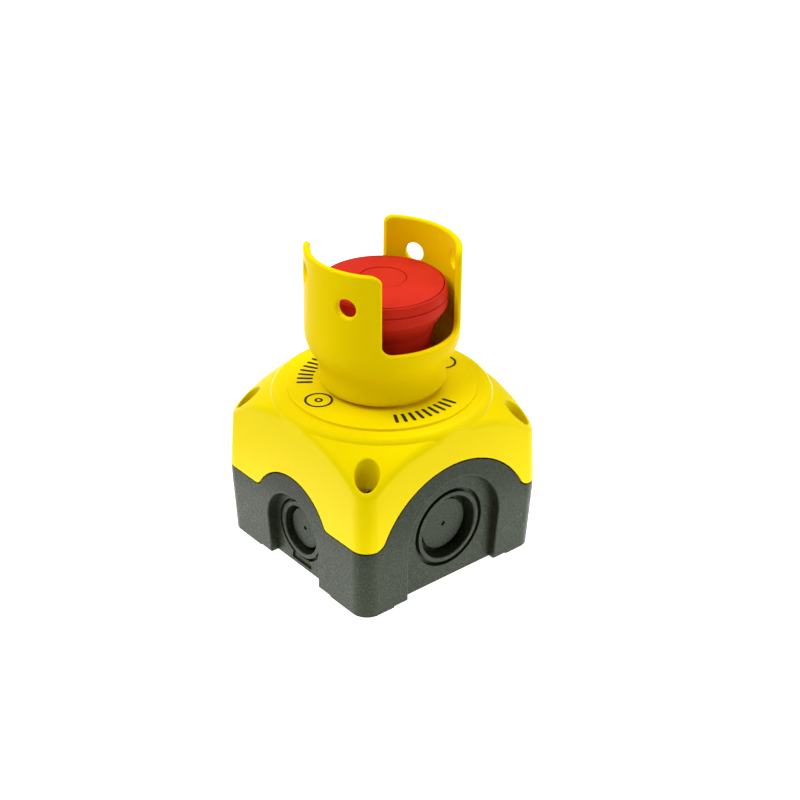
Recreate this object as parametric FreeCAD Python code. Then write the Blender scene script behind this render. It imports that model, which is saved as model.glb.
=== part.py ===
import FreeCAD, Part
import math
import os

V = FreeCAD.Vector

# ---------------------------------------------------------------------------
# Emergency stop push button in a surface-mounted enclosure.
# Millimetres. Origin: middle of the enclosure's underside. +Z is the push
# button's axis, pointing out of the panel. The wide arched cable-entry faces
# look along -Y and +Y, the narrow ones along -X and +X.
# ---------------------------------------------------------------------------

# --- enclosure -------------------------------------------------------------
HALF_BELT = 36.0        # half width at the belt line, where cover meets base
HALF_FOOT = 35.04       # half width at the underside
Z_BELT = 23.6           # height of the straight parts of the parting line
COVER_DRAFT = 0.0448    # cover wall draft, mm per mm of height
CORNER_R = 5.5          # vertical corner rounding
WALL = 2.6              # wall thickness
SEAM = 0.5              # visible gap along the parting line

ARCH_Y_R, ARCH_Y_ZC, ARCH_Y_FILLET = 30.9, 11.4, 4.8    # wide arch, +-Y faces
ARCH_X_R, ARCH_X_ZC, ARCH_X_FILLET = 18.9, 15.1, 3.0    # narrow arch, +-X faces

FOOT_H = 0.5            # height of the four corner feet
FOOT_X, FOOT_Y = 23.2, 18.3   # where the feet begin on the +-Y and +-X faces
FLOOR_TOP = 3.5         # inside floor

POCKET_Y_R, POCKET_Y_ZC, POCKET_Y_FLOOR = 18.5, 18.8, 33.0   # entry pocket, +-Y
POCKET_X_R, POCKET_X_ZC, POCKET_X_FLOOR = 13.0, 14.4, 32.5   # entry pocket, +-X
KO_Y_RING, KO_Y_CUP, KO_Y_DEPTH = 12.8, 10.65, 5.0           # 25 / 20 mm entry
KO_X_RING, KO_X_CUP, KO_X_DEPTH = 10.1, 8.05, 4.2            # 20 / 16 mm entry
KO_Y_PLUG, KO_Y_PLUG_DEPTH = 8.4, 2.7   # raised middle of the wide entry's cup
KO_X_PLUG, KO_X_PLUG_DEPTH = 6.5, 1.9   # and of the narrow entry's cup
KO_WEB = 1.3            # thickness left at the bottom of a knock-out cup
KO_GROOVE_W, KO_GROOVE_T = 1.35, 1.8     # break-out groove at the outer ring
ENTRY_EDGE_R = 0.4      # rounding of the pocket and cup edges
REAR_HOLE_C, REAR_HOLE_R = 20.0, 2.25   # rear fixing holes on a 40 mm square

DISC_Z = 55.3           # top of the raised round disc of the cover
DISC_R = 35.0           # its rim, cut flush with the walls in the middle of each side
DISC_FILLET = 3.0
FACET_Z36, FACET_SLOPE, FACET_BOW = 52.86, 0.60, 0.0571   # corner facets: a shallow
                        # dome, its height and slope at r=36 and how the slope grows
FACET_EDGE_R = 2.8
PANEL_T = 2.7           # thickness under the disc

SCREW_C = 29.8          # corner screws, distance from each middle plane
WELL_R = 3.7            # screw wells in the cover
WELL_RIM_R = 0.35
SEAT_Z = 38.4           # screw head seat
POST_R = 5.2

# --- legend, collar --------------------------------------------------------
LEGEND_R, LEGEND_T = 29.8, 0.9
PANEL_HOLE_R = 11.25    # 22.5 mm hole through cover, legend and collar
COLLAR_FOOT_R = 19.8
COLLAR_STEP_R, COLLAR_STEP_H = 17.0, 1.0    # ring that the collar stands on
COLLAR_FOOT_FILLET = 2.2
COLLAR_R_MID, COLLAR_R_TOP = 24.05, 23.85
COLLAR_TOP = 102.4
COLLAR_WALL = 2.1
COLLAR_FLOOR_T = 2.2
COLLAR_EDGE_R = 0.75
SLOT_HALF, SLOT_Z = 14.6, 76.85         # open sides towards +-Y
SLOT_FILLET, WING_FILLET = 3.0, 2.5
LOCK_R = 3.1                            # lock holes, two crossing pairs
LOCK_AZ_LOW, LOCK_AZ_HIGH = 24.0, 27.0  # their bearings from the X axis
LOCK_Z_LOW, LOCK_Z_HIGH = 91.2, 95.8    # heights of the two pairs
LOCK_RIM_OUT, LOCK_RIM_IN = 0.7, 0.3    # roundings of their rims

# --- operator --------------------------------------------------------------
TRAVEL = 4.5            # push travel of the head
HEAD_R = 19.9           # lip of the head
HEAD_TOP_R = 19.3       # upper edge of its slightly tapered rim
HEAD_CROWN_Z = 92.0     # middle of the crowned top
HEAD_EDGE_Z = 90.35     # crown height at the cap's edge
CAP_R, CAP_GAP = 18.5, 0.3      # cap disc and the groove round it
CENTRE_R, CENTRE_GAP = 7.05, 0.28   # centre insert and the groove round it
SKIRT_R, SKIRT_TOP_R, SKIRT_Z = 14.5, 15.75, 66.5
FLANGE_R, FLANGE_TOP = 14.5, 61.5
BARREL_R, BARREL_BOTTOM = 11.0, 41.2
STEM_R = 6.0
RUN = 0.05              # running clearance of the stem

# --- contact blocks --------------------------------------------------------
BLOCK_X = 5.25          # block centres at x = -BLOCK_X and +BLOCK_X
BLOCK_TOP, BLOCK_BOTTOM = 41.0, 19.0
BLOCK_HW, BLOCK_HL = 5.0, 19.0
BRIDGE_TOP = 30.9
PLUNGER_R = 1.85

os.makedirs("parts", exist_ok=True)


# ------------------------------------------------------------------ helpers
def rounded_wire(pts, to3d):
    """Closed wire through pts = (u, v, fillet radius), corners rounded."""
    n = len(pts)
    corners = []
    for i in range(n):
        u, v, r = pts[i][0], pts[i][1], (pts[i][2] if len(pts[i]) > 2 else 0.0)
        pu, pv = pts[i - 1][0], pts[i - 1][1]
        nu, nv = pts[(i + 1) % n][0], pts[(i + 1) % n][1]
        if r <= 0:
            corners.append(((u, v), None, (u, v)))
            continue
        a = (pu - u, pv - v)
        b = (nu - u, nv - v)
        la, lb = math.hypot(*a), math.hypot(*b)
        a = (a[0] / la, a[1] / la)
        b = (b[0] / lb, b[1] / lb)
        ang = math.acos(max(-1.0, min(1.0, a[0] * b[0] + a[1] * b[1])))
        t = r / math.tan(ang / 2)
        p1 = (u + a[0] * t, v + a[1] * t)
        p2 = (u + b[0] * t, v + b[1] * t)
        m = (a[0] + b[0], a[1] + b[1])
        lm = math.hypot(*m)
        d = r / math.sin(ang / 2)
        c = (u + m[0] / lm * d, v + m[1] / lm * d)
        mid = (c[0] - m[0] / lm * r, c[1] - m[1] / lm * r)
        corners.append((p1, mid, p2))
    edges = []
    for i in range(n):
        p1, mid, p2 = corners[i]
        if mid is not None:
            edges.append(Part.Arc(to3d(*p1), to3d(*mid), to3d(*p2)).toShape())
        q = corners[(i + 1) % n][0]
        if math.hypot(q[0] - p2[0], q[1] - p2[1]) > 1e-6:
            edges.append(Part.LineSegment(to3d(*p2), to3d(*q)).toShape())
    return Part.Wire(edges)


def xz(u, v):
    return V(u, 0, v)


def yz(u, v):
    return V(0, u, v)


def revolve(pts):
    """Solid of revolution about Z from a closed (r, z, fillet) profile."""
    f = Part.Face(rounded_wire(pts, xz))
    s = f.revolve(V(0, 0, 0), V(0, 0, 1), 360)
    return Part.Solid(s) if s.ShapeType != "Solid" else s


def cyl(r, z0, z1, x=0.0, y=0.0):
    return Part.makeCylinder(r, z1 - z0, V(x, y, z0), V(0, 0, 1))


def box(x0, x1, y0, y1, z0, z1):
    return Part.makeBox(x1 - x0, y1 - y0, z1 - z0, V(x0, y0, z0))


def fuse(shapes):
    s = shapes[0]
    if len(shapes) > 1:
        s = s.multiFuse(list(shapes[1:]))
    return s.removeSplitter()


def cut(s, tools):
    return s.cut(Part.makeCompound(list(tools))) if len(tools) > 1 else s.cut(tools[0])


def solids_of(s):
    out = s.Solids
    return out[0] if len(out) == 1 else Part.makeCompound(out)


def ring(r0, r1, z0, z1):
    return cyl(r1, z0, z1).cut(cyl(r0, z0 - 1, z1 + 1))


def helix_spring(x, y, z0, z1, mean_r, wire_r, turns, per_turn=14, sides=6):
    """Compression spring between two seat planes, in short flat facets."""
    lo, hi = z0 + wire_r + 0.05, z1 - wire_r - 0.05
    pitch = (hi - lo) / turns
    n = int(round(turns * per_turn))
    pts, tris = [], []
    for i in range(n + 1):
        a = 2 * math.pi * i / per_turn
        c = V(x + mean_r * math.cos(a), y + mean_r * math.sin(a), lo + (hi - lo) * i / n)
        d = V(-mean_r * math.sin(a), mean_r * math.cos(a), pitch / (2 * math.pi))
        d.normalize()
        out = V(math.cos(a), math.sin(a), 0)
        up = d.cross(out)
        for k in range(sides):
            b = 2 * math.pi * k / sides
            pts.append(c + out * (wire_r * math.cos(b)) + up * (wire_r * math.sin(b)))
    for i in range(n):
        for k in range(sides):
            p, q = i * sides + k, i * sides + (k + 1) % sides
            r, t = p + sides, q + sides
            tris += [(p, q, t), (p, t, r)]
    last = n * sides
    for k in range(1, sides - 1):
        tris += [(0, k + 1, k), (last, last + k, last + k + 1)]
    shell = Part.Shape()
    shell.makeShapeFromMesh((pts, tris), 0.0001)
    solid = Part.makeSolid(shell)
    if solid.Volume < 0:
        solid.reverse()
    return solid


NODES = {}


def node(name, shape):
    shape = solids_of(shape)
    for s in shape.Solids:
        if not s.isValid():
            print("not valid:", name)
        if s.Volume <= 0:
            print("no volume:", name)
    NODES[name] = shape


# ------------------------------------------------- parting line of the casing
def arch_region(g, along):
    """Everything below the parting line moved up by g, right through the
    casing, for the faces that look along +-Y ("y") or +-X ("x")."""
    if along == "y":
        R, zc, rf = ARCH_Y_R, ARCH_Y_ZC, ARCH_Y_FILLET
    else:
        R, zc, rf = ARCH_X_R, ARCH_X_ZC, ARCH_X_FILLET
    zf = Z_BELT
    cz = zf + rf
    cx = math.sqrt((R + rf) ** 2 - (cz - zc) ** 2)
    k = (R + g) / (R + rf)
    tx, tz = cx * k, zc + (cz - zc) * k
    a = math.atan2(zc - cz, -cx)          # from fillet centre to arch centre
    am = (a - math.pi / 2) / 2            # half way to straight down
    if am > 0:
        am -= math.pi
    am = (-math.pi / 2 + (a if a < 0 else a - 2 * math.pi)) / 2
    rr = rf - g
    fm = (cx + rr * math.cos(am), cz + rr * math.sin(am))
    to = xz if along == "y" else yz
    big = 60.0
    e = [
        Part.LineSegment(to(big, zf + g), to(cx, zf + g)).toShape(),
        Part.Arc(to(cx, zf + g), to(*fm), to(tx, tz)).toShape(),
        Part.Arc(to(tx, tz), to(0, zc + R + g), to(-tx, tz)).toShape(),
        Part.Arc(to(-tx, tz), to(-fm[0], fm[1]), to(-cx, zf + g)).toShape(),
        Part.LineSegment(to(-cx, zf + g), to(-big, zf + g)).toShape(),
        Part.LineSegment(to(-big, zf + g), to(-big, -20)).toShape(),
        Part.LineSegment(to(-big, -20), to(big, -20)).toShape(),
        Part.LineSegment(to(big, -20), to(big, zf + g)).toShape(),
    ]
    f = Part.Face(Part.Wire(e))
    if along == "y":
        f.translate(V(0, -big, 0))
        return f.extrude(V(0, 2 * big, 0))
    f.translate(V(-big, 0, 0))
    return f.extrude(V(2 * big, 0, 0))


def below(g):
    return arch_region(g, "y").fuse(arch_region(g, "x"))


def frustum(h0, z0, h1, z1, r):
    """Square frustum with half widths h0 at z0 and h1 at z1, corners rounded."""
    w = []
    for h, z in ((h0, z0), (h1, z1)):
        p = [V(-h, -h, z), V(h, -h, z), V(h, h, z), V(-h, h, z), V(-h, -h, z)]
        w.append(Part.makePolygon(p))
    s = Part.makeLoft(w, True, True)
    if r > 0:
        es = [e for e in s.Edges
              if abs(e.Vertexes[0].Point.z - e.Vertexes[-1].Point.z) > 0.5 * (z1 - z0)]
        s = s.makeFillet(r, es)
    return s


def cover_half(z):
    return HALF_BELT - (z - Z_BELT) * COVER_DRAFT


# barrel-shaped outside of the base: outward draft below the belt line, then
# leaning in with the cover above it, the change rounded off
def belt_prism(inset, along, z0=0.0, z1=46.0):
    slope = (HALF_BELT - HALF_FOOT) / Z_BELT
    hb = HALF_BELT - inset + 0.02
    top = hb - (z1 - Z_BELT) * (COVER_DRAFT + 0.006)
    foot = hb - (Z_BELT - z0) * slope
    pts = [(-foot, z0), (foot, z0), (hb, Z_BELT, 120.0), (top, z1),
           (-top, z1), (-hb, Z_BELT, 120.0)]
    to = yz if along == "x" else xz
    f = Part.Face(rounded_wire(pts, to))
    if along == "x":
        f.translate(V(-60, 0, 0))
        return f.extrude(V(120, 0, 0))
    f.translate(V(0, -60, 0))
    return f.extrude(V(0, 120, 0))


def belt_block(inset, r, z0=0.0, z1=46.0):
    s = belt_prism(inset, "x", z0, z1).common(belt_prism(inset, "y", z0, z1))
    s = solids_of(s)
    es = []
    for e in s.Edges:
        p = e.valueAt((e.FirstParameter + e.LastParameter) / 2)
        d = e.Vertexes[0].Point.z - e.Vertexes[-1].Point.z
        if abs(d) > 1.0 and abs(abs(p.x) - abs(p.y)) < 1e-3 and abs(p.x) > 30:
            es.append(e)
    return s.makeFillet(r, es)


CORNERS = [(sx * SCREW_C, sy * SCREW_C) for sx in (-1, 1) for sy in (-1, 1)]


def arch_block(r, zc, along, d0, d1, z0=-5.0, taper=0.0):
    """Arch-shaped block: half round of radius r about height zc on straight
    legs, between distances d0 and d1 from the middle, towards +along."""
    to = xz if along == "y" else yz
    e = [
        Part.Arc(to(r, zc), to(0, zc + r), to(-r, zc)).toShape(),
        Part.LineSegment(to(-r, zc), to(-r + taper, z0)).toShape(),
        Part.LineSegment(to(-r + taper, z0), to(r - taper, z0)).toShape(),
        Part.LineSegment(to(r - taper, z0), to(r, zc)).toShape(),
    ]
    f = Part.Face(Part.Wire(e))
    if along == "y":
        f.translate(V(0, d0, 0))
        return f.extrude(V(0, d1 - d0, 0))
    f.translate(V(d0, 0, 0))
    return f.extrude(V(d1 - d0, 0, 0))


def turned(shape, deg):
    s = shape.copy()
    s.rotate(V(0, 0, 0), V(0, 0, 1), deg)
    return s


def along_cyl(r, zc, along, d0, d1, off=0.0):
    if along == "y":
        return Part.makeCylinder(r, d1 - d0, V(off, d0, zc), V(0, 1, 0))
    return Part.makeCylinder(r, d1 - d0, V(d0, off, zc), V(1, 0, 0))


# ------------------------------------------------------------- enclosure base
base_out = belt_block(0.0, CORNER_R)
base_mid = belt_block(1.4, CORNER_R - 1.4)
base_in = belt_block(WALL, CORNER_R - WALL)

pads = []
for deg in (0, 180):
    pads.append(turned(arch_block(POCKET_Y_R + 2.6, POCKET_Y_ZC, "y",
                                  POCKET_Y_FLOOR - KO_Y_DEPTH - KO_WEB, 45), deg))
    pads.append(turned(arch_block(POCKET_X_R + 2.6, POCKET_X_ZC, "x",
                                  POCKET_X_FLOOR - KO_X_DEPTH - KO_WEB, 45), deg))
posts = [cyl(POST_R, -5, Z_BELT - 0.3, x, y) for x, y in CORNERS]
floor = box(-50, 50, -50, 50, -5, FLOOR_TOP)
cavity = cut(base_in, pads + posts + [floor])
base = base_out.cut(cavity)
base = base.common(below(0.0))
# rebate for the gasket along the inner half of the rim
rebate = base_mid.cut(below(-1.5))
rebate = rebate.cut(Part.makeCompound([cyl(3.3, -5, Z_BELT - 0.3, x, y) for x, y in CORNERS]))
base = base.cut(rebate)

cuts = []
for deg in (0, 180):
    cuts.append(turned(arch_block(POCKET_Y_R, POCKET_Y_ZC, "y", POCKET_Y_FLOOR, 45,
                                  taper=1.0), deg))
    cuts.append(turned(arch_block(POCKET_X_R, POCKET_X_ZC, "x", POCKET_X_FLOOR, 45,
                                  taper=1.0), deg))
    f = POCKET_Y_FLOOR
    g = KO_GROOVE_W / 2
    cuts.append(turned(along_cyl(KO_Y_RING + g, POCKET_Y_ZC, "y", f - KO_GROOVE_T, f + 1)
                       .cut(along_cyl(KO_Y_RING - g, POCKET_Y_ZC, "y", f - 4, f + 2)), deg))
    cuts.append(turned(along_cyl(KO_Y_CUP, POCKET_Y_ZC, "y", f - KO_Y_DEPTH, f + 1)
                       .cut(along_cyl(KO_Y_PLUG, POCKET_Y_ZC, "y", f - 9, f - KO_Y_PLUG_DEPTH)), deg))
    cuts.append(turned(along_cyl(0.8, POCKET_Y_ZC, "y", f - KO_Y_PLUG_DEPTH - 0.5, f), deg))
    f = POCKET_X_FLOOR
    g = 0.37 * KO_GROOVE_W
    cuts.append(turned(along_cyl(KO_X_RING + g, POCKET_X_ZC - 0.4, "x", f - KO_GROOVE_T, f + 1)
                       .cut(along_cyl(KO_X_RING - g, POCKET_X_ZC - 0.4, "x", f - 4, f + 2)), deg))
    cuts.append(turned(along_cyl(KO_X_CUP, POCKET_X_ZC - 0.4, "x", f - KO_X_DEPTH, f + 1)
                       .cut(along_cyl(KO_X_PLUG, POCKET_X_ZC - 0.4, "x", f - 9, f - KO_X_PLUG_DEPTH)), deg))
    cuts.append(turned(along_cyl(0.7, POCKET_X_ZC - 0.4, "x", f - KO_X_PLUG_DEPTH - 0.5, f), deg))
# small shallow panel under the narrow entry on -X
cuts.append(box(-POCKET_X_FLOOR - 1, -POCKET_X_FLOOR + 0.6, -5.4, 4.4, 1.7, 4.0))
# feet: relieve the underside between the four corners, and more under the pockets
cuts.append(box(-FOOT_X, FOOT_X, -50, 50, -1, FOOT_H))
cuts.append(box(-50, 50, -FOOT_Y, FOOT_Y, -1, FOOT_H))
for sx in (-1, 1):
    for sy in (-1, 1):
        cuts.append(cyl(REAR_HOLE_R, -1, 10, sx * REAR_HOLE_C, sy * REAR_HOLE_C))
for x, y in CORNERS:
    cuts.append(cyl(2.9, 12.0, 40, x, y))
base = solids_of(base.cut(Part.makeCompound(cuts)).removeSplitter())
# rounded edges of the entry pockets and of the knock-out cups
es = []
for e in base.Edges:
    p = e.valueAt((e.FirstParameter + e.LastParameter) / 2)
    for u, d, f, cup, r, zc, dz in (
            (p.x, abs(p.y), POCKET_Y_FLOOR, KO_Y_CUP, POCKET_Y_R, POCKET_Y_ZC, 0.0),
            (p.y, abs(p.x), POCKET_X_FLOOR, KO_X_CUP, POCKET_X_R, POCKET_X_ZC, 0.4)):
        mouth = abs(d - f) < 1e-3 and abs(math.hypot(u, p.z - zc + dz) - cup) < 1e-3
        leg = abs(abs(u) - r + (zc - p.z) / (zc + 5.0)) < 0.05
        arch = abs(math.hypot(u, p.z - zc) - r) < 0.02
        if mouth or (d > f + 0.3 and p.z > 0.6 and (arch if p.z >= zc - 1e-6 else leg)):
            es.append(e)
base = base.makeFillet(ENTRY_EDGE_R, es)
node("enclosure_base", base)

# ------------------------------------------------------------------ gasket
# flat strip with the shape of the seam, in the rebate behind the outer lip
strip_out = belt_block(1.45, CORNER_R - 1.45)
strip_in = belt_block(WALL - 0.05, CORNER_R - WALL + 0.05, -1.0, 47.0)
gasket = strip_out.cut(strip_in)
gasket = gasket.common(below(SEAM)).cut(below(-1.5))
gasket = gasket.cut(Part.makeCompound([cyl(3.35, -5, 60, x, y) for x, y in CORNERS]))
node("cover_gasket", gasket)

# ---------------------------------------------------------------- the cover
z_top = 60.0
shell = frustum(cover_half(15.0), 15.0, cover_half(z_top), z_top, CORNER_R)


def facet_z(r):
    u = r - 36.0
    return FACET_Z36 - FACET_SLOPE * u - 0.5 * FACET_BOW * u * u


def facet_dome(r0, drop):
    """Dome whose flank, outside radius r0, forms the corner facets, lowered by drop."""
    a, m, b = [xz(r, facet_z(r) - drop) for r in (r0, 40.0, 49.0)]
    e = [Part.Arc(a, m, b).toShape(),
         Part.LineSegment(b, xz(60.0, 20.0)).toShape(),
         Part.LineSegment(xz(60.0, 20.0), xz(60.0, 5.0)).toShape(),
         Part.LineSegment(xz(60.0, 5.0), xz(0.0, 5.0)).toShape(),
         Part.LineSegment(xz(0.0, 5.0), xz(0.0, a.z)).toShape(),
         Part.LineSegment(xz(0.0, a.z), a).toShape()]
    s = Part.Face(Part.Wire(e)).revolve(V(0, 0, 0), V(0, 0, 1), 360)
    return Part.Solid(s) if s.ShapeType != "Solid" else s


dome_top = facet_z(31.4)
body = solids_of(shell.common(facet_dome(31.4, 0.0)))
edges = []
for e in body.Edges:
    p = e.valueAt((e.FirstParameter + e.LastParameter) / 2)
    if p.z > 41 and abs(p.z - dome_top) > 0.02 and math.hypot(p.x, p.y) > 34.0:
        edges.append(e)
body = body.makeFillet(FACET_EDGE_R, edges)
disc = revolve([(0, 48.0), (DISC_R, 48.0), (DISC_R, DISC_Z, DISC_FILLET), (0, DISC_Z)])
outer = body.fuse(disc.common(shell)).removeSplitter()

t = WALL - 0.2
inner_shell = frustum(cover_half(15.0) - t, 15.0, cover_half(z_top) - t, z_top, CORNER_R - t)
hollow = inner_shell.common(facet_dome(28.0, 1.25 * t))
hollow = hollow.common(box(-50, 50, -50, 50, 0, DISC_Z - PANEL_T))
cover_posts = [cyl(POST_R, 0, 60, x, y) for x, y in CORNERS]
hollow = cut(hollow, cover_posts)
cover = outer.cut(hollow)
cover = cover.cut(below(SEAM))
drill = [cyl(PANEL_HOLE_R, 40, 70)]
for x, y in CORNERS:
    drill.append(cyl(WELL_R, SEAT_Z, 70, x, y))
    drill.append(cyl(2.25, 0, 70, x, y))
cover = solids_of(cover.cut(Part.makeCompound(drill)))
es = []
for e in cover.Edges:
    p = e.valueAt((e.FirstParameter + e.LastParameter) / 2)
    for x, y in CORNERS:
        if p.z > SEAT_Z + 0.5 and abs(math.hypot(p.x - x, p.y - y) - WELL_R) < 0.01 and e.Length > 0.5:
            q = [v.Point for v in e.Vertexes]
            if not (len(q) == 2 and math.hypot(q[0].x - q[1].x, q[0].y - q[1].y) < 0.01 and
                    abs(q[0].z - q[1].z) > 0.5):
                es.append(e)
cover = cover.makeFillet(WELL_RIM_R, es)
node("enclosure_cover", cover)

# ------------------------------------------------------- screws and inserts
screws, inserts = [], []
for x, y in CORNERS:
    head = revolve([(0, SEAT_Z), (3.4, SEAT_Z), (3.4, SEAT_Z + 2.7, 1.0), (0, SEAT_Z + 2.7)])
    shank = cyl(1.95, 14.0, SEAT_Z + 0.5)
    s = head.fuse(shank).removeSplitter()
    z = SEAT_Z + 2.7
    s = s.cut(Part.makeCompound([box(-2.0, 2.0, -0.45, 0.45, z - 1.5, z + 1),
                                 box(-0.45, 0.45, -2.0, 2.0, z - 1.5, z + 1)]))
    s = solids_of(s)
    s.rotate(V(0, 0, 0), V(0, 0, 1), 25 if x * y > 0 else -10)
    s.translate(V(x, y, 0))
    screws.append(s)
    i = cyl(2.88, 12.5, Z_BELT - 0.8).cut(cyl(2.0, 10, 30))
    i.translate(V(x, y, 0))
    inserts.append(i)
node("cover_screws", Part.makeCompound(screws))
node("thread_inserts", Part.makeCompound(inserts))

# ------------------------------------------------------------------- legend
LEGEND_TOP = DISC_Z + LEGEND_T
node("legend_plate", revolve([(PANEL_HOLE_R, DISC_Z), (LEGEND_R, DISC_Z),
                              (LEGEND_R, LEGEND_TOP, 0.3), (PANEL_HOLE_R, LEGEND_TOP)]))

# ------------------------------------------------------------- guard collar
zf = LEGEND_TOP
w = COLLAR_WALL
p1, p2 = (COLLAR_FOOT_R, 65.2), (COLLAR_R_MID, 72.0)
ang = math.atan2(p2[0] - p1[0], p2[1] - p1[1])
dz = w * math.tan(ang / 2)
collar = revolve([
    (PANEL_HOLE_R, zf), (COLLAR_STEP_R, zf), (COLLAR_STEP_R, zf + COLLAR_STEP_H),
    (COLLAR_FOOT_R, zf + COLLAR_STEP_H, COLLAR_FOOT_FILLET),
    (p1[0], p1[1], 11.0), (p2[0], p2[1], 13.0),
    (COLLAR_R_TOP, COLLAR_TOP), (COLLAR_R_TOP - w, COLLAR_TOP),
    (p2[0] - w, p2[1] + dz, 11.0), (p1[0] - w, p1[1] + dz, 13.0),
    (p1[0] - w, zf + COLLAR_FLOOR_T, 1.5), (PANEL_HOLE_R, zf + COLLAR_FLOOR_T),
])
big = 40.0
# the mouth of the slot, with the upper corners of the wings rounded off
r = WING_FILLET
e = []
f3 = SLOT_FILLET
k = 1 - math.sqrt(0.5)
h = SLOT_HALF
top = COLLAR_TOP
e.append(Part.LineSegment(xz(-h + f3, SLOT_Z), xz(h - f3, SLOT_Z)).toShape())
e.append(Part.Arc(xz(h - f3, SLOT_Z), xz(h - f3 * k, SLOT_Z + f3 * k), xz(h, SLOT_Z + f3)).toShape())
e.append(Part.LineSegment(xz(h, SLOT_Z + f3), xz(h, top - r)).toShape())
e.append(Part.Arc(xz(h, top - r), xz(h + r * k, top - r * k), xz(h + r, top)).toShape())
e.append(Part.LineSegment(xz(h + r, top), xz(h + r, top + 5)).toShape())
e.append(Part.LineSegment(xz(h + r, top + 5), xz(-h - r, top + 5)).toShape())
e.append(Part.LineSegment(xz(-h - r, top + 5), xz(-h - r, top)).toShape())
e.append(Part.Arc(xz(-h - r, top), xz(-h - r * k, top - r * k), xz(-h, top - r)).toShape())
e.append(Part.LineSegment(xz(-h, top - r), xz(-h, SLOT_Z + f3)).toShape())
e.append(Part.Arc(xz(-h, SLOT_Z + f3), xz(-h + f3 * k, SLOT_Z + f3 * k), xz(-h + f3, SLOT_Z)).toShape())
slot = Part.Face(Part.Wire(e))
slot.translate(V(0, -big, 0))
slot = slot.extrude(V(0, 2 * big, 0))
collar = solids_of(collar.cut(slot))
es = []
for e in collar.Edges:
    p = e.valueAt((e.FirstParameter + e.LastParameter) / 2)
    rr = math.hypot(p.x, p.y)
    on_wall = abs(rr - COLLAR_R_TOP) < 0.25 or abs(rr - (COLLAR_R_TOP - w)) < 0.25
    if on_wall and min(v.Point.z for v in e.Vertexes) >= SLOT_Z - 0.01:
        es.append(e)
collar = collar.makeFillet(COLLAR_EDGE_R, es)
# lock holes: each pair lies on one line across the collar, the lines cross
holes = []
for a, z in ((LOCK_AZ_LOW, LOCK_Z_LOW), (180 + LOCK_AZ_LOW, LOCK_Z_LOW),
             (-LOCK_AZ_HIGH, LOCK_Z_HIGH), (180 - LOCK_AZ_HIGH, LOCK_Z_HIGH)):
    d = V(math.cos(math.radians(a)), math.sin(math.radians(a)), 0)
    holes.append((d, z))
collar = solids_of(collar.cut(Part.makeCompound(
    [Part.makeCylinder(LOCK_R, 20, V(d.x * 15, d.y * 15, z), d) for d, z in holes])))
for rim, outside in ((LOCK_RIM_OUT, True), (LOCK_RIM_IN, False)):
    es = []
    for e in collar.Edges:
        p = e.valueAt((e.FirstParameter + e.LastParameter) / 2)
        for d, z in holes:
            side = p.x * d.y - p.y * d.x
            if (p.x * d.x + p.y * d.y > 0 and abs(math.hypot(side, p.z - z) - LOCK_R) < 0.01
                    and e.Length > 1.0
                    and (math.hypot(p.x, p.y) > COLLAR_R_TOP - 0.5 * w) == outside):
                es.append(e)
    collar = collar.makeFillet(rim, es)
node("guard_collar", collar)

# ----------------------------------------------------------------- operator
seal_z0 = zf + COLLAR_FLOOR_T
seal_z1 = seal_z0 + 0.8
node("operator_seal", ring(BARREL_R + 0.1, 14.0, seal_z0, seal_z1))
bore = STEM_R + RUN
node("operator_housing", revolve([
    (BARREL_R, seal_z1), (FLANGE_R, seal_z1), (FLANGE_R, FLANGE_TOP, 0.8), (7.65, FLANGE_TOP),
    (7.65, FLANGE_TOP - 2.0), (bore, FLANGE_TOP - 2.0), (bore, 54.2), (7.3, 54.2), (7.3, 52.6),
    (bore, 52.6), (bore, 48.6), (9.7, 48.6), (9.7, BARREL_BOTTOM), (BARREL_R, BARREL_BOTTOM)]))
node("stem_lip_seal", revolve([(STEM_R + RUN, FLANGE_TOP - 2.0), (7.6, FLANGE_TOP - 2.0),
                               (7.6, FLANGE_TOP), (6.9, FLANGE_TOP), (STEM_R + RUN, FLANGE_TOP - 0.9)]))
detent = Part.makeTorus(6.72, 0.5, V(0, 0, 53.4), V(0, 0, 1))
detent = detent.cut(box(0, 12, -1.2, 1.2, 50, 57))
node("detent_ring", detent)

nut = ring(BARREL_R + 0.05, 15.2, DISC_Z - PANEL_T - 6.0, DISC_Z - PANEL_T)
notch = []
for i in range(8):
    notch.append(turned(box(13.4, 17, -1.4, 1.4, 40, 60), 45 * i + 22.5))
node("ring_nut", nut.cut(Part.makeCompound(notch)))

# ------------------------------------------------------- head (moves down)
head = revolve([
    (STEM_R, 87.4), (STEM_R, 83.0), (11.0, 83.0), (11.0, SKIRT_Z), (SKIRT_R, SKIRT_Z, 0.8),
    (SKIRT_TOP_R, 76.6, 3.5), (18.3, 82.0, 2.5), (HEAD_R, 83.6, 3.2),
    (HEAD_R, 86.95), (HEAD_R - 0.4, 87.2), (HEAD_R, 87.45),
    (HEAD_TOP_R, HEAD_EDGE_Z - 0.1, 0.5), (CAP_R + CAP_GAP, HEAD_EDGE_Z - 0.1),
    (CAP_R + CAP_GAP, 88.2), (0, 88.2), (0, 87.4)])
node("mushroom_head", head)

# crowned cap disc let into the head, with a shallow seat for the centre insert
drop = HEAD_CROWN_Z - HEAD_EDGE_Z
crown_r = (CAP_R ** 2 + drop ** 2) / (2 * drop)
ball = Part.makeSphere(crown_r, V(0, 0, HEAD_CROWN_Z - crown_r))
cap = cyl(CAP_R, 88.2, 95).common(ball)
seat = cyl(CENTRE_R + CENTRE_GAP, HEAD_CROWN_Z - 1.2, 95)
node("head_top_disc", cap.cut(seat))
centre = cyl(CENTRE_R, HEAD_CROWN_Z - 1.2, 95)
ball2 = ball.copy()
ball2.translate(V(0, 0, -0.12))
node("head_centre_disc", centre.common(ball2))

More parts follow.
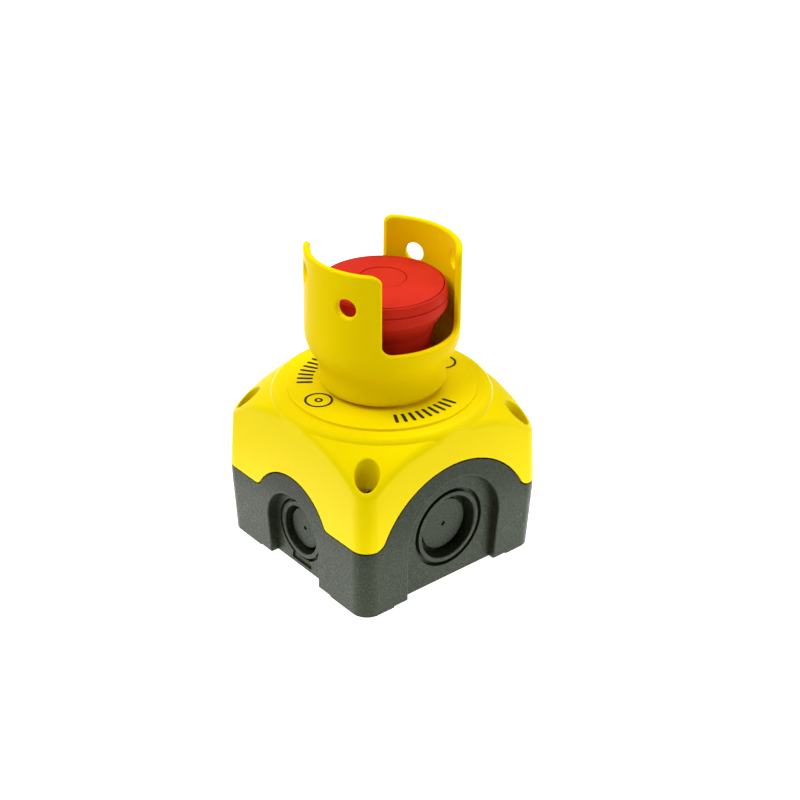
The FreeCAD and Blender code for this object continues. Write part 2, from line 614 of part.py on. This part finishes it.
stem = revolve([
    (0, 45.8), (2.2, 45.8), (2.2, 46.0), (1.8, 46.0), (1.8, 46.6), (2.2, 46.6), (2.2, 48.2),
    (STEM_R, 48.2), (STEM_R, 52.8), (5.5, 53.1), (5.5, 53.7), (STEM_R, 54.0),
    (STEM_R, 57.3), (5.5, 57.6), (5.5, 58.2), (STEM_R, 58.5), (STEM_R, 87.4), (0, 87.4)])
node("actuator_stem", stem)
pusher = revolve([(2.25, 46.7), (3.7, 46.7), (3.7, 45.7), (9.3, 45.7), (9.3, 48.1, 0.4), (2.25, 48.1)])
node("stem_pusher", pusher)
clip = ring(1.85, 3.3, 46.02, 46.58).cut(box(0, 5, -1.3, 1.3, 45, 48))
node("stem_clip", clip)
node("return_spring", helix_spring(0, 0, FLANGE_TOP, 83.0, 8.6, 0.65, 5.5, 16, 8))

# ----------------------------------------------------- carrier and contacts
carrier = box(-17, 17, -21, 21, BLOCK_TOP, BLOCK_TOP + 3.5)
es = [e for e in carrier.Edges if abs(e.Vertexes[0].Point.z - e.Vertexes[-1].Point.z) > 3]
carrier = carrier.makeFillet(2.5, es)
rails = [box(sx * 13.2 - 2.8, sx * 13.2 + 2.8, -6, 6, BLOCK_TOP - 6, BLOCK_TOP + 1) for sx in (-1, 1)]
carrier = fuse([carrier] + rails)
carrier = carrier.cut(cyl(BARREL_R + 0.05, BLOCK_TOP - 1, 60))
node("contact_carrier", carrier)


def contact_block(kind, x0):
    b0, b1 = x0 - BLOCK_HW, x0 + BLOCK_HW
    bar = (31.0, 32.2) if kind == "nc" else (24.0, 25.2)
    housing = box(b0, b1, -BLOCK_HL, BLOCK_HL, BLOCK_BOTTOM, BLOCK_TOP)
    es = [e for e in housing.Edges if abs(e.Vertexes[0].Point.z - e.Vertexes[-1].Point.z) > 3]
    housing = housing.makeFillet(0.8, es)
    tools = [box(x0 - 3.6, x0 + 3.6, -11, 11, 21.0, 39.0), cyl(PLUNGER_R + 0.1, 35, 50, x0, 0)]
    bars, scr = [], []
    for sy in (-1, 1):
        y0, y1 = sorted((sy * 10.0, sy * 25.0))
        tools.append(box(x0 - 2.1, x0 + 2.1, y0, y1, bar[0], bar[1] + 0.1))
        ys = sy * 15.5
        tools.append(cyl(2.7, 10, bar[0], x0, ys))
        tools.append(cyl(1.7, bar[0], bar[1] + 3.0, x0, ys))
        y0, y1 = sorted((sy * 5.5, sy * 18.4))
        bars.append(box(x0 - 2.0, x0 + 2.0, y0, y1, bar[0], bar[1])
                    .cut(cyl(1.5, 0, 60, x0, ys)))
        s = cyl(2.4, bar[0] - 2.3, bar[0], x0, ys).fuse(cyl(1.45, bar[0] - 0.5, bar[1] + 2.4, x0, ys))
        s = s.removeSplitter().cut(box(x0 - 3, x0 + 3, ys - 0.4, ys + 0.4, bar[0] - 3, bar[0] - 1.3))
        scr.append(solids_of(s))
    node(kind + "_housing", housing.cut(Part.makeCompound(tools)))
    node(kind + "_terminals", Part.makeCompound(bars))
    node(kind + "_terminal_screws", Part.makeCompound(scr))
    plunger = cyl(PLUNGER_R, BRIDGE_TOP, 45.6, x0, 0).fuse(cyl(1.1, 26.5, 35, x0, 0)).removeSplitter()
    node(kind + "_plunger", plunger)
    bridge = box(x0 - 1.9, x0 + 1.9, -8.5, 8.5, BRIDGE_TOP - 1.0, BRIDGE_TOP)
    node(kind + "_bridge", bridge.cut(cyl(1.12, 20, 40, x0, 0)))
    node(kind + "_spring", helix_spring(x0, 0, 21.0, BRIDGE_TOP - 1.0, 2.3, 0.25, 5, 12, 6))


contact_block("nc", -BLOCK_X)
contact_block("no", BLOCK_X)

# ------------------------------------------------------------------- export
for name, shape in NODES.items():
    shape.exportStep("parts/" + name + ".step")
    bb = shape.BoundBox
    print("%-22s solids %d  volume %9.1f  z %.2f..%.2f" %
          (name, len(shape.Solids), shape.Volume, bb.ZMin, bb.ZMax))
print(len(NODES), "nodes")
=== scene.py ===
import bpy
import bmesh
import math
from mathutils import Matrix, Vector


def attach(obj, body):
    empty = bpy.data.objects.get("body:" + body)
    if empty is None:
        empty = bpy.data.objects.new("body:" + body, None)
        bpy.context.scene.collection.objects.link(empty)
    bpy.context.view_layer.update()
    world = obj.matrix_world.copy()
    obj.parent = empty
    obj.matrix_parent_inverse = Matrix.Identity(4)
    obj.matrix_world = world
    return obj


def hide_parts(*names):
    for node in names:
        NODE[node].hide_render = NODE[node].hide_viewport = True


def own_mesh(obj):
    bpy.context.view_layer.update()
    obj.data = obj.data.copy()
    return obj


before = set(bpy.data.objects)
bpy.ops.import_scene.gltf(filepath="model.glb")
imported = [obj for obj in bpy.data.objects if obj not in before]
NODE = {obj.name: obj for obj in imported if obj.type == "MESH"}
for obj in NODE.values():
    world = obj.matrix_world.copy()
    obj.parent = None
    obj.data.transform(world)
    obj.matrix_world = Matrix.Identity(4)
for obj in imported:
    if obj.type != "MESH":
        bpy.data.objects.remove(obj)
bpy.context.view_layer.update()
scene = bpy.context.scene
MM = 0.001


# ---------------------------------------------------------------------------
# node-tree helpers
# ---------------------------------------------------------------------------
def lin(r, g, b):
    """sRGB 0..255 to linear, as a colour socket takes it."""
    out = []
    for c in (r, g, b):
        c /= 255.0
        out.append(c / 12.92 if c <= 0.04045 else ((c + 0.055) / 1.055) ** 2.4)
    return (out[0], out[1], out[2], 1.0)


def new_mat(name):
    m = bpy.data.materials.new(name)
    m.use_nodes = True
    nt = m.node_tree
    nt.nodes.clear()
    out = nt.nodes.new("ShaderNodeOutputMaterial")
    bsdf = nt.nodes.new("ShaderNodeBsdfPrincipled")
    nt.links.new(bsdf.outputs["BSDF"], out.inputs["Surface"])
    return m, nt, bsdf


def coords(nt):
    return nt.nodes.new("ShaderNodeTexCoord").outputs["Object"]


def noise(nt, co, scale, detail=2.0, rough=0.5, distortion=0.0):
    n = nt.nodes.new("ShaderNodeTexNoise")
    n.inputs["Scale"].default_value = scale
    n.inputs["Detail"].default_value = detail
    n.inputs["Roughness"].default_value = rough
    n.inputs["Distortion"].default_value = distortion
    nt.links.new(co, n.inputs["Vector"])
    return n.outputs["Fac"]


def voronoi(nt, co, scale, feature="F1"):
    n = nt.nodes.new("ShaderNodeTexVoronoi")
    n.feature = feature
    n.inputs["Scale"].default_value = scale
    nt.links.new(co, n.inputs["Vector"])
    return n.outputs["Distance"]


def ramp(nt, fac, stops):
    r = nt.nodes.new("ShaderNodeValToRGB")
    e = r.color_ramp.elements
    e[0].position, e[0].color = stops[0]
    e[1].position, e[1].color = stops[-1]
    for p, c in stops[1:-1]:
        k = e.new(p)
        k.color = c
    nt.links.new(fac, r.inputs["Fac"])
    return r.outputs["Color"]


def span(nt, fac, lo, hi, a=0.3, b=0.7):
    m = nt.nodes.new("ShaderNodeMapRange")
    m.inputs["From Min"].default_value = a
    m.inputs["From Max"].default_value = b
    m.inputs["To Min"].default_value = lo
    m.inputs["To Max"].default_value = hi
    nt.links.new(fac, m.inputs["Value"])
    return m.outputs["Result"]


def smooth(nt, fac, lo, hi, a, b):
    out = span(nt, fac, lo, hi, a, b)
    out.node.interpolation_type = "SMOOTHSTEP"
    return out


def mix(nt, fac, a, b, mode="MIX"):
    m = nt.nodes.new("ShaderNodeMix")
    m.data_type = "RGBA"
    m.blend_type = mode
    if isinstance(fac, (int, float)):
        m.inputs[0].default_value = fac
    else:
        nt.links.new(fac, m.inputs[0])
    for s, v in ((6, a), (7, b)):
        if isinstance(v, tuple):
            m.inputs[s].default_value = v
        else:
            nt.links.new(v, m.inputs[s])
    return m.outputs[2]


def math_node(nt, op, a, b=0.0):
    m = nt.nodes.new("ShaderNodeMath")
    m.operation = op
    for i, v in enumerate((a, b)):
        if isinstance(v, (int, float)):
            m.inputs[i].default_value = v
        else:
            nt.links.new(v, m.inputs[i])
    return m.outputs[0]


def bump(nt, height, strength, distance, normal=None):
    b = nt.nodes.new("ShaderNodeBump")
    b.inputs["Strength"].default_value = strength
    b.inputs["Distance"].default_value = distance
    nt.links.new(height, b.inputs["Height"])
    if normal is not None:
        nt.links.new(normal, b.inputs["Normal"])
    return b.outputs["Normal"]


# ---------------------------------------------------------------------------
# materials
# ---------------------------------------------------------------------------
def moulded(name, colour, colour2, rough, grain=2200.0, grain_amp=0.10, spec=0.3, tint=(1.0, 1.0, 1.0, 1.0),
            blotch=55.0):
    """Satin moulded plastic: two close tones in soft clouds, a fine spark-eroded
    grain and a slightly uneven gloss."""
    m, nt, b = new_mat(name)
    co = coords(nt)
    cloud = noise(nt, co, blotch, 3.0, 0.55)
    fine = noise(nt, co, grain, 2.0, 0.6)
    flow = noise(nt, co, blotch * 6.0, 2.0, 0.5, 0.6)
    base = ramp(nt, cloud, [(0.30, colour2), (0.70, colour)])
    nt.links.new(base, b.inputs["Base Color"])
    r = math_node(nt, "ADD", span(nt, flow, rough - 0.05, rough + 0.05),
                  span(nt, fine, -0.03, 0.03))
    nt.links.new(r, b.inputs["Roughness"])
    nt.links.new(bump(nt, fine, grain_amp, 0.00012), b.inputs["Normal"])
    b.inputs["Specular IOR Level"].default_value = spec
    b.inputs["Specular Tint"].default_value = tint
    return m


def speckled_grey(name):
    """Glass-filled charcoal moulding: nearly black in itself, with a coarse eroded
    grain whose satin gloss picks up the light, and pale and dark specks of a few
    tenths of a millimetre."""
    m, nt, b = new_mat(name)
    co = coords(nt)
    coarse = noise(nt, co, 1650.0, 3.0, 0.6)
    fine = noise(nt, co, 3800.0, 2.0, 0.6)
    cloud = noise(nt, co, 60.0, 3.0, 0.6)
    tone = ramp(nt, cloud, [(0.25, lin(27, 28, 19)), (0.75, lin(31, 32, 22))])
    speck = ramp(nt, coarse, [(0.30, lin(13, 14, 9)), (0.52, lin(27, 28, 19)), (0.71, lin(60, 63, 52))])
    col = mix(nt, 0.65, tone, speck)
    nt.links.new(col, b.inputs["Base Color"])
    nt.links.new(span(nt, coarse, 0.54, 0.33), b.inputs["Roughness"])
    h = math_node(nt, "ADD", coarse, math_node(nt, "MULTIPLY", fine, 0.35))
    nt.links.new(bump(nt, h, 0.18, 0.0002), b.inputs["Normal"])
    b.inputs["Specular IOR Level"].default_value = 0.29
    b.inputs["Specular Tint"].default_value = (0.74, 1.0, 0.67, 1.0)
    return m


def metal(name, colour, colour2, rough, scale=900.0):
    """Plated or turned metal with fine scratches and slight staining."""
    m, nt, b = new_mat(name)
    co = coords(nt)
    stain = noise(nt, co, 260.0, 4.0, 0.6)
    fine = noise(nt, co, scale * 4.0, 2.0, 0.6)
    nt.links.new(ramp(nt, stain, [(0.3, colour2), (0.7, colour)]), b.inputs["Base Color"])
    nt.links.new(math_node(nt, "ADD", span(nt, stain, rough + 0.08, rough - 0.05),
                           span(nt, fine, -0.05, 0.05)), b.inputs["Roughness"])
    nt.links.new(bump(nt, fine, 0.08, 0.00006), b.inputs["Normal"])
    b.inputs["Metallic"].default_value = 1.0
    return m


def print_ink(name):
    """Pad-printed black ink: slightly uneven, thinner and paler in tiny pinholes."""
    m, nt, b = new_mat(name)
    co = coords(nt)
    a = noise(nt, co, 900.0, 3.0, 0.6)
    nt.links.new(ramp(nt, a, [(0.32, lin(20, 20, 18)), (0.75, lin(44, 42, 34))]), b.inputs["Base Color"])
    nt.links.new(span(nt, a, 0.55, 0.42), b.inputs["Roughness"])
    nt.links.new(bump(nt, a, 0.1, 0.00004), b.inputs["Normal"])
    b.inputs["Specular IOR Level"].default_value = 0.3
    return m


MAT = {
    "cover_yellow": moulded("cover_yellow", lin(244, 220, 0), lin(242, 217, 0), 0.38, 2600.0, 0.05, 0.09,
                            (1.0, 0.95, 0.0, 1.0)),
    "legend_yellow": moulded("legend_yellow", lin(246, 223, 0), lin(244, 221, 0), 0.42, 3600.0, 0.04, 0.07,
                             (1.0, 0.95, 0.0, 1.0)),
    "collar_yellow": moulded("collar_yellow", lin(246, 216, 0), lin(244, 213, 0), 0.40, 3000.0, 0.04, 0.02,
                             (1.0, 0.95, 0.0, 1.0)),
    "head_red": moulded("head_red", lin(206, 48, 32), lin(201, 45, 29), 0.42, 2600.0, 0.05, 0.04,
                        (1.0, 0.30, 0.22, 1.0)),
    "base_grey": speckled_grey("base_grey"),
    "inner_black": moulded("inner_black", lin(40, 41, 42), lin(32, 33, 34), 0.5, 2000.0, 0.1, 0.35),
    "inner_white": moulded("inner_white", lin(226, 224, 214), lin(214, 211, 200), 0.45, 2000.0, 0.08, 0.35),
    "nc_red": moulded("nc_red", lin(196, 42, 36), lin(182, 34, 30), 0.42, 2000.0, 0.08, 0.35),
    "no_green": moulded("no_green", lin(42, 138, 70), lin(34, 124, 60), 0.42, 2000.0, 0.08, 0.35),
    "seal_rubber": moulded("seal_rubber", lin(46, 46, 46), lin(36, 36, 36), 0.72, 1400.0, 0.15, 0.25),
    "steel": metal("steel", lin(176, 176, 172), lin(140, 140, 136), 0.34),
    "brass": metal("brass", lin(214, 178, 98), lin(180, 144, 72), 0.30),
    "print_black": print_ink("print_black"),
}

for name, obj in NODE.items():
    for i, s in enumerate(obj.material_slots):
        key = s.material.name.split(".")[0] if s.material else None
        obj.material_slots[i].material = MAT[key]


# ---------------------------------------------------------------------------
# marks on the legend plate: two plain graduated arcs and two plain rings
# ---------------------------------------------------------------------------
LEGEND_TOP = 56.2


def prism(bm, outline, z0, z1):
    """Closed flat plate from a counter-clockwise outline in millimetres."""
    lo = [bm.verts.new((x * MM, y * MM, z0 * MM)) for x, y in outline]
    hi = [bm.verts.new((x * MM, y * MM, z1 * MM)) for x, y in outline]
    n = len(outline)
    bm.faces.new(list(reversed(lo)))
    bm.faces.new(hi)
    for i in range(n):
        j = (i + 1) % n
        bm.faces.new((lo[i], lo[j], hi[j], hi[i]))


def tick(bm, az, r0, r1, half_w, z0, z1):
    """Radial bar with rounded ends."""
    a = math.radians(az)
    c, s = math.cos(a), math.sin(a)
    pts = []
    k = 6
    for i in range(k + 1):
        t = -math.pi / 2 + math.pi * i / k
        pts.append((r1 - half_w + half_w * math.cos(t), half_w * math.sin(t)))
    for i in range(k + 1):
        t = math.pi / 2 + math.pi * i / k
        pts.append((r0 + half_w + half_w * math.cos(t), half_w * math.sin(t)))
    prism(bm, [(u * c - v * s, u * s + v * c) for u, v in pts], z0, z1)


def flat_ring(bm, cx, cy, r0, r1, z0, z1, n=64):
    loops = []
    for r, z in ((r0, z0), (r1, z0), (r1, z1), (r0, z1)):
        loops.append([bm.verts.new(((cx + r * math.cos(2 * math.pi * i / n)) * MM,
                                    (cy + r * math.sin(2 * math.pi * i / n)) * MM, z * MM)) for i in range(n)])
    for q in range(4):
        a, b = loops[q], loops[(q + 1) % 4]
        for i in range(n):
            j = (i + 1) % n
            bm.faces.new((a[i], a[j], b[j], b[i]))


def mesh_object(name, bm, material):
    bmesh.ops.recalc_face_normals(bm, faces=bm.faces)
    me = bpy.data.meshes.new(name)
    bm.to_mesh(me)
    bm.free()
    ob = bpy.data.objects.new(name, me)
    scene.collection.objects.link(ob)
    me.materials.append(material)
    return ob


bm = bmesh.new()
z0, z1 = LEGEND_TOP - 0.05, LEGEND_TOP + 0.04
for n, mid in ((9, -95.0), (19, 90.0)):
    for i in range(n):
        tick(bm, mid + (i - (n - 1) / 2) * 6.0, 21.5, 26.6, 0.55, z0, z1)
for az in (174.0, -6.0):
    a = math.radians(az)
    flat_ring(bm, 23.0 * math.cos(a), 23.0 * math.sin(a), 3.7, 4.45, z0, z1)
    flat_ring(bm, 23.0 * math.cos(a), 23.0 * math.sin(a), 0.6, 1.3, z0, z1, 32)
marks = mesh_object("legend_marks", bm, MAT["print_black"])
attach(marks, "casing")


# ---------------------------------------------------------------------------
# the three compression springs, round wire with a closed turn at each end; each one
# stands on its lower seat and rides with the casing
# ---------------------------------------------------------------------------
BLOCK_X = 5.25


def coil(name, x, z0, z1, mean_r, wire_r, turns, per_turn=40, sides=12):
    lo, hi = z0 + wire_r + 0.05, z1 - wire_r - 0.05
    n = int(round(turns * per_turn))
    dt = turns / n
    closed = 2.1 * wire_r

    def open_share(t):
        u = min(max((min(t, turns - t) - 0.7) / 0.6, 0.0), 1.0)
        return u * u * (3.0 - 2.0 * u)

    shares = [open_share((i + 0.5) * dt) for i in range(n)]
    wide = closed + ((hi - lo) - closed * turns) / (sum(shares) * dt)
    bm = bmesh.new()
    rings = []
    z = lo
    for i in range(n + 1):
        a = 2 * math.pi * i / per_turn
        slope = math.atan2(closed + (wide - closed) * open_share(i * dt), 2 * math.pi * mean_r)
        c = Vector((x + mean_r * math.cos(a), mean_r * math.sin(a), z))
        out = Vector((math.cos(a), math.sin(a), 0.0))
        up = Vector((math.sin(a) * math.sin(slope), -math.cos(a) * math.sin(slope), math.cos(slope)))
        rings.append([bm.verts.new((c + out * (wire_r * math.cos(b)) + up * (wire_r * math.sin(b))) * MM)
                      for b in (2 * math.pi * k / sides for k in range(sides))])
        if i < n:
            z += (closed + (wide - closed) * shares[i]) * dt
    for a, b in zip(rings, rings[1:]):
        for k in range(sides):
            j = (k + 1) % sides
            bm.faces.new((a[k], a[j], b[j], b[k]))
    bm.faces.new(list(reversed(rings[0])))
    bm.faces.new(rings[-1])
    ob = mesh_object(name, bm, MAT["steel"])
    for f in ob.data.polygons:
        f.use_smooth = len(f.vertices) == 4
    return ob


for name, node, joint, x, z0, z1, mean_r, wire_r, turns in (
        ("return_coil", "return_spring", "head_push", 0.0, 61.5, 83.0, 8.6, 0.65, 5.5),
        ("nc_coil", "nc_spring", "nc_plunger_slide", -BLOCK_X, 21.0, 29.9, 2.3, 0.25, 5.0),
        ("no_coil", "no_spring", "no_plunger_slide", BLOCK_X, 21.0, 29.9, 2.3, 0.25, 5.0)):
    spring = coil(name, x, z0, z1, mean_r, wire_r, turns)
    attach(spring, "casing")
    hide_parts(node)
    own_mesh(spring)


# ---------------------------------------------------------------------------
# stage, light, camera
# ---------------------------------------------------------------------------
bm = bmesh.new()
bmesh.ops.create_grid(bm, x_segments=1, y_segments=1, size=4.0)
fm, nt, b = new_mat("floor_white")
fco = coords(nt)
fn = noise(nt, fco, 30.0, 2.0, 0.5)
nt.links.new(ramp(nt, fn, [(0.2, (0.80, 0.80, 0.80, 1)), (0.8, (0.83, 0.83, 0.83, 1))]), b.inputs["Base Color"])
b.inputs["Roughness"].default_value = 0.7
b.inputs["Specular IOR Level"].default_value = 0.2
b.inputs["Emission Color"].default_value = (1, 1, 1, 1)
# lit sweep: plain white in view, and as a light strongest close round the object,
# with a softer patch behind it and one to its right
far = nt.nodes.new("ShaderNodeVectorMath")
far.operation = "LENGTH"
nt.links.new(fco, far.inputs[0])


def towards(direction):
    d = nt.nodes.new("ShaderNodeVectorMath")
    d.operation = "DOT_PRODUCT"
    d.inputs[1].default_value = direction
    nt.links.new(fco, d.inputs[0])
    return d.outputs["Value"]


near = smooth(nt, far.outputs["Value"], 1.75, 0.0, 0.070, 0.105)
rear = math_node(nt, "MULTIPLY", smooth(nt, towards((0.643, 0.766, 0.0)), 0.0, 2.6, 0.09, 0.15),
                 smooth(nt, far.outputs["Value"], 1.0, 0.0, 0.33, 0.45))
right = math_node(nt, "MULTIPLY", smooth(nt, towards((0.766, -0.643, 0.0)), 0.0, 0.8, 0.06, 0.09),
                  smooth(nt, far.outputs["Value"], 1.0, 0.0, 0.13, 0.17))
lit = math_node(nt, "ADD", near, math_node(nt, "ADD", rear, right))
path = nt.nodes.new("ShaderNodeLightPath")
seen = nt.nodes.new("ShaderNodeMix")
seen.data_type = "FLOAT"
nt.links.new(path.outputs["Is Camera Ray"], seen.inputs[0])
nt.links.new(lit, seen.inputs[2])
seen.inputs[3].default_value = 1.05
nt.links.new(seen.outputs[0], b.inputs["Emission Strength"])
floor = mesh_object("floor", bm, fm)

world = bpy.data.worlds.new("studio")
scene.world = world
world.use_nodes = True
wt = world.node_tree
bg = wt.nodes["Background"]
bg.inputs["Color"].default_value = (1.0, 1.0, 1.0, 1.0)
path = wt.nodes.new("ShaderNodeLightPath")
seen = wt.nodes.new("ShaderNodeMix")
seen.data_type = "FLOAT"
wt.links.new(path.outputs["Is Camera Ray"], seen.inputs[0])
seen.inputs[2].default_value = 0.02
seen.inputs[3].default_value = 1.0
wt.links.new(seen.outputs[0], bg.inputs["Strength"])


def area(name, loc, target, size, power, size_y=None):
    d = bpy.data.lights.new(name, "AREA")
    d.shape = "RECTANGLE"
    d.size = size
    d.size_y = size_y or size
    d.energy = power
    o = bpy.data.objects.new(name, d)
    scene.collection.objects.link(o)
    o.location = loc
    z = (Vector(loc) - Vector(target)).normalized()
    o.rotation_euler = z.to_track_quat("Z", "Y").to_euler()
    o.visible_camera = False
    return o


area("top_softbox", (0, 0, 0.8), (0, 0, 0.05), 0.5, 1.95)
area("top_back_left_softbox", (-0.45, 0.45, 0.7), (0, 0, 0.05), 0.45, 3.3)
area("top_left_softbox", (-0.5, -0.05, 0.75), (0, 0, 0.05), 0.45, 2.6)
area("top_right_softbox", (0.5, 0.1, 0.75), (0, 0, 0.05), 0.45, 2.6)
area("right_softbox", (0.7, -0.75, 0.4), (0, 0, 0.05), 0.6, 3.9)
area("front_softbox", (0.15, -0.95, 0.42), (0, 0, 0.05), 0.6, 0.85)
area("back_softbox", (0.3, 0.95, 0.42), (0, 0, 0.05), 0.6, 0.5)

cam = bpy.data.cameras.new("camera")
cam.sensor_width = 36.0
cam.sensor_fit = "HORIZONTAL"
cam.lens = 74.707
cam.clip_start = 0.01
cam.clip_end = 50.0
co = bpy.data.objects.new("camera", cam)
scene.collection.objects.link(co)
co.matrix_world = Matrix((
    (0.76906505, 0.30554238, -0.56141144, -0.28753),
    (-0.63906837, 0.38327941, -0.66684969, -0.35040),
    (0.01142661, 0.87163108, 0.49002927, 0.30414),
    (0.0, 0.0, 0.0, 1.0)))
scene.camera = co

scene.view_settings.view_transform = "Standard"
scene.view_settings.look = "None"
scene.view_settings.exposure = 0.0
scene.view_settings.gamma = 1.0
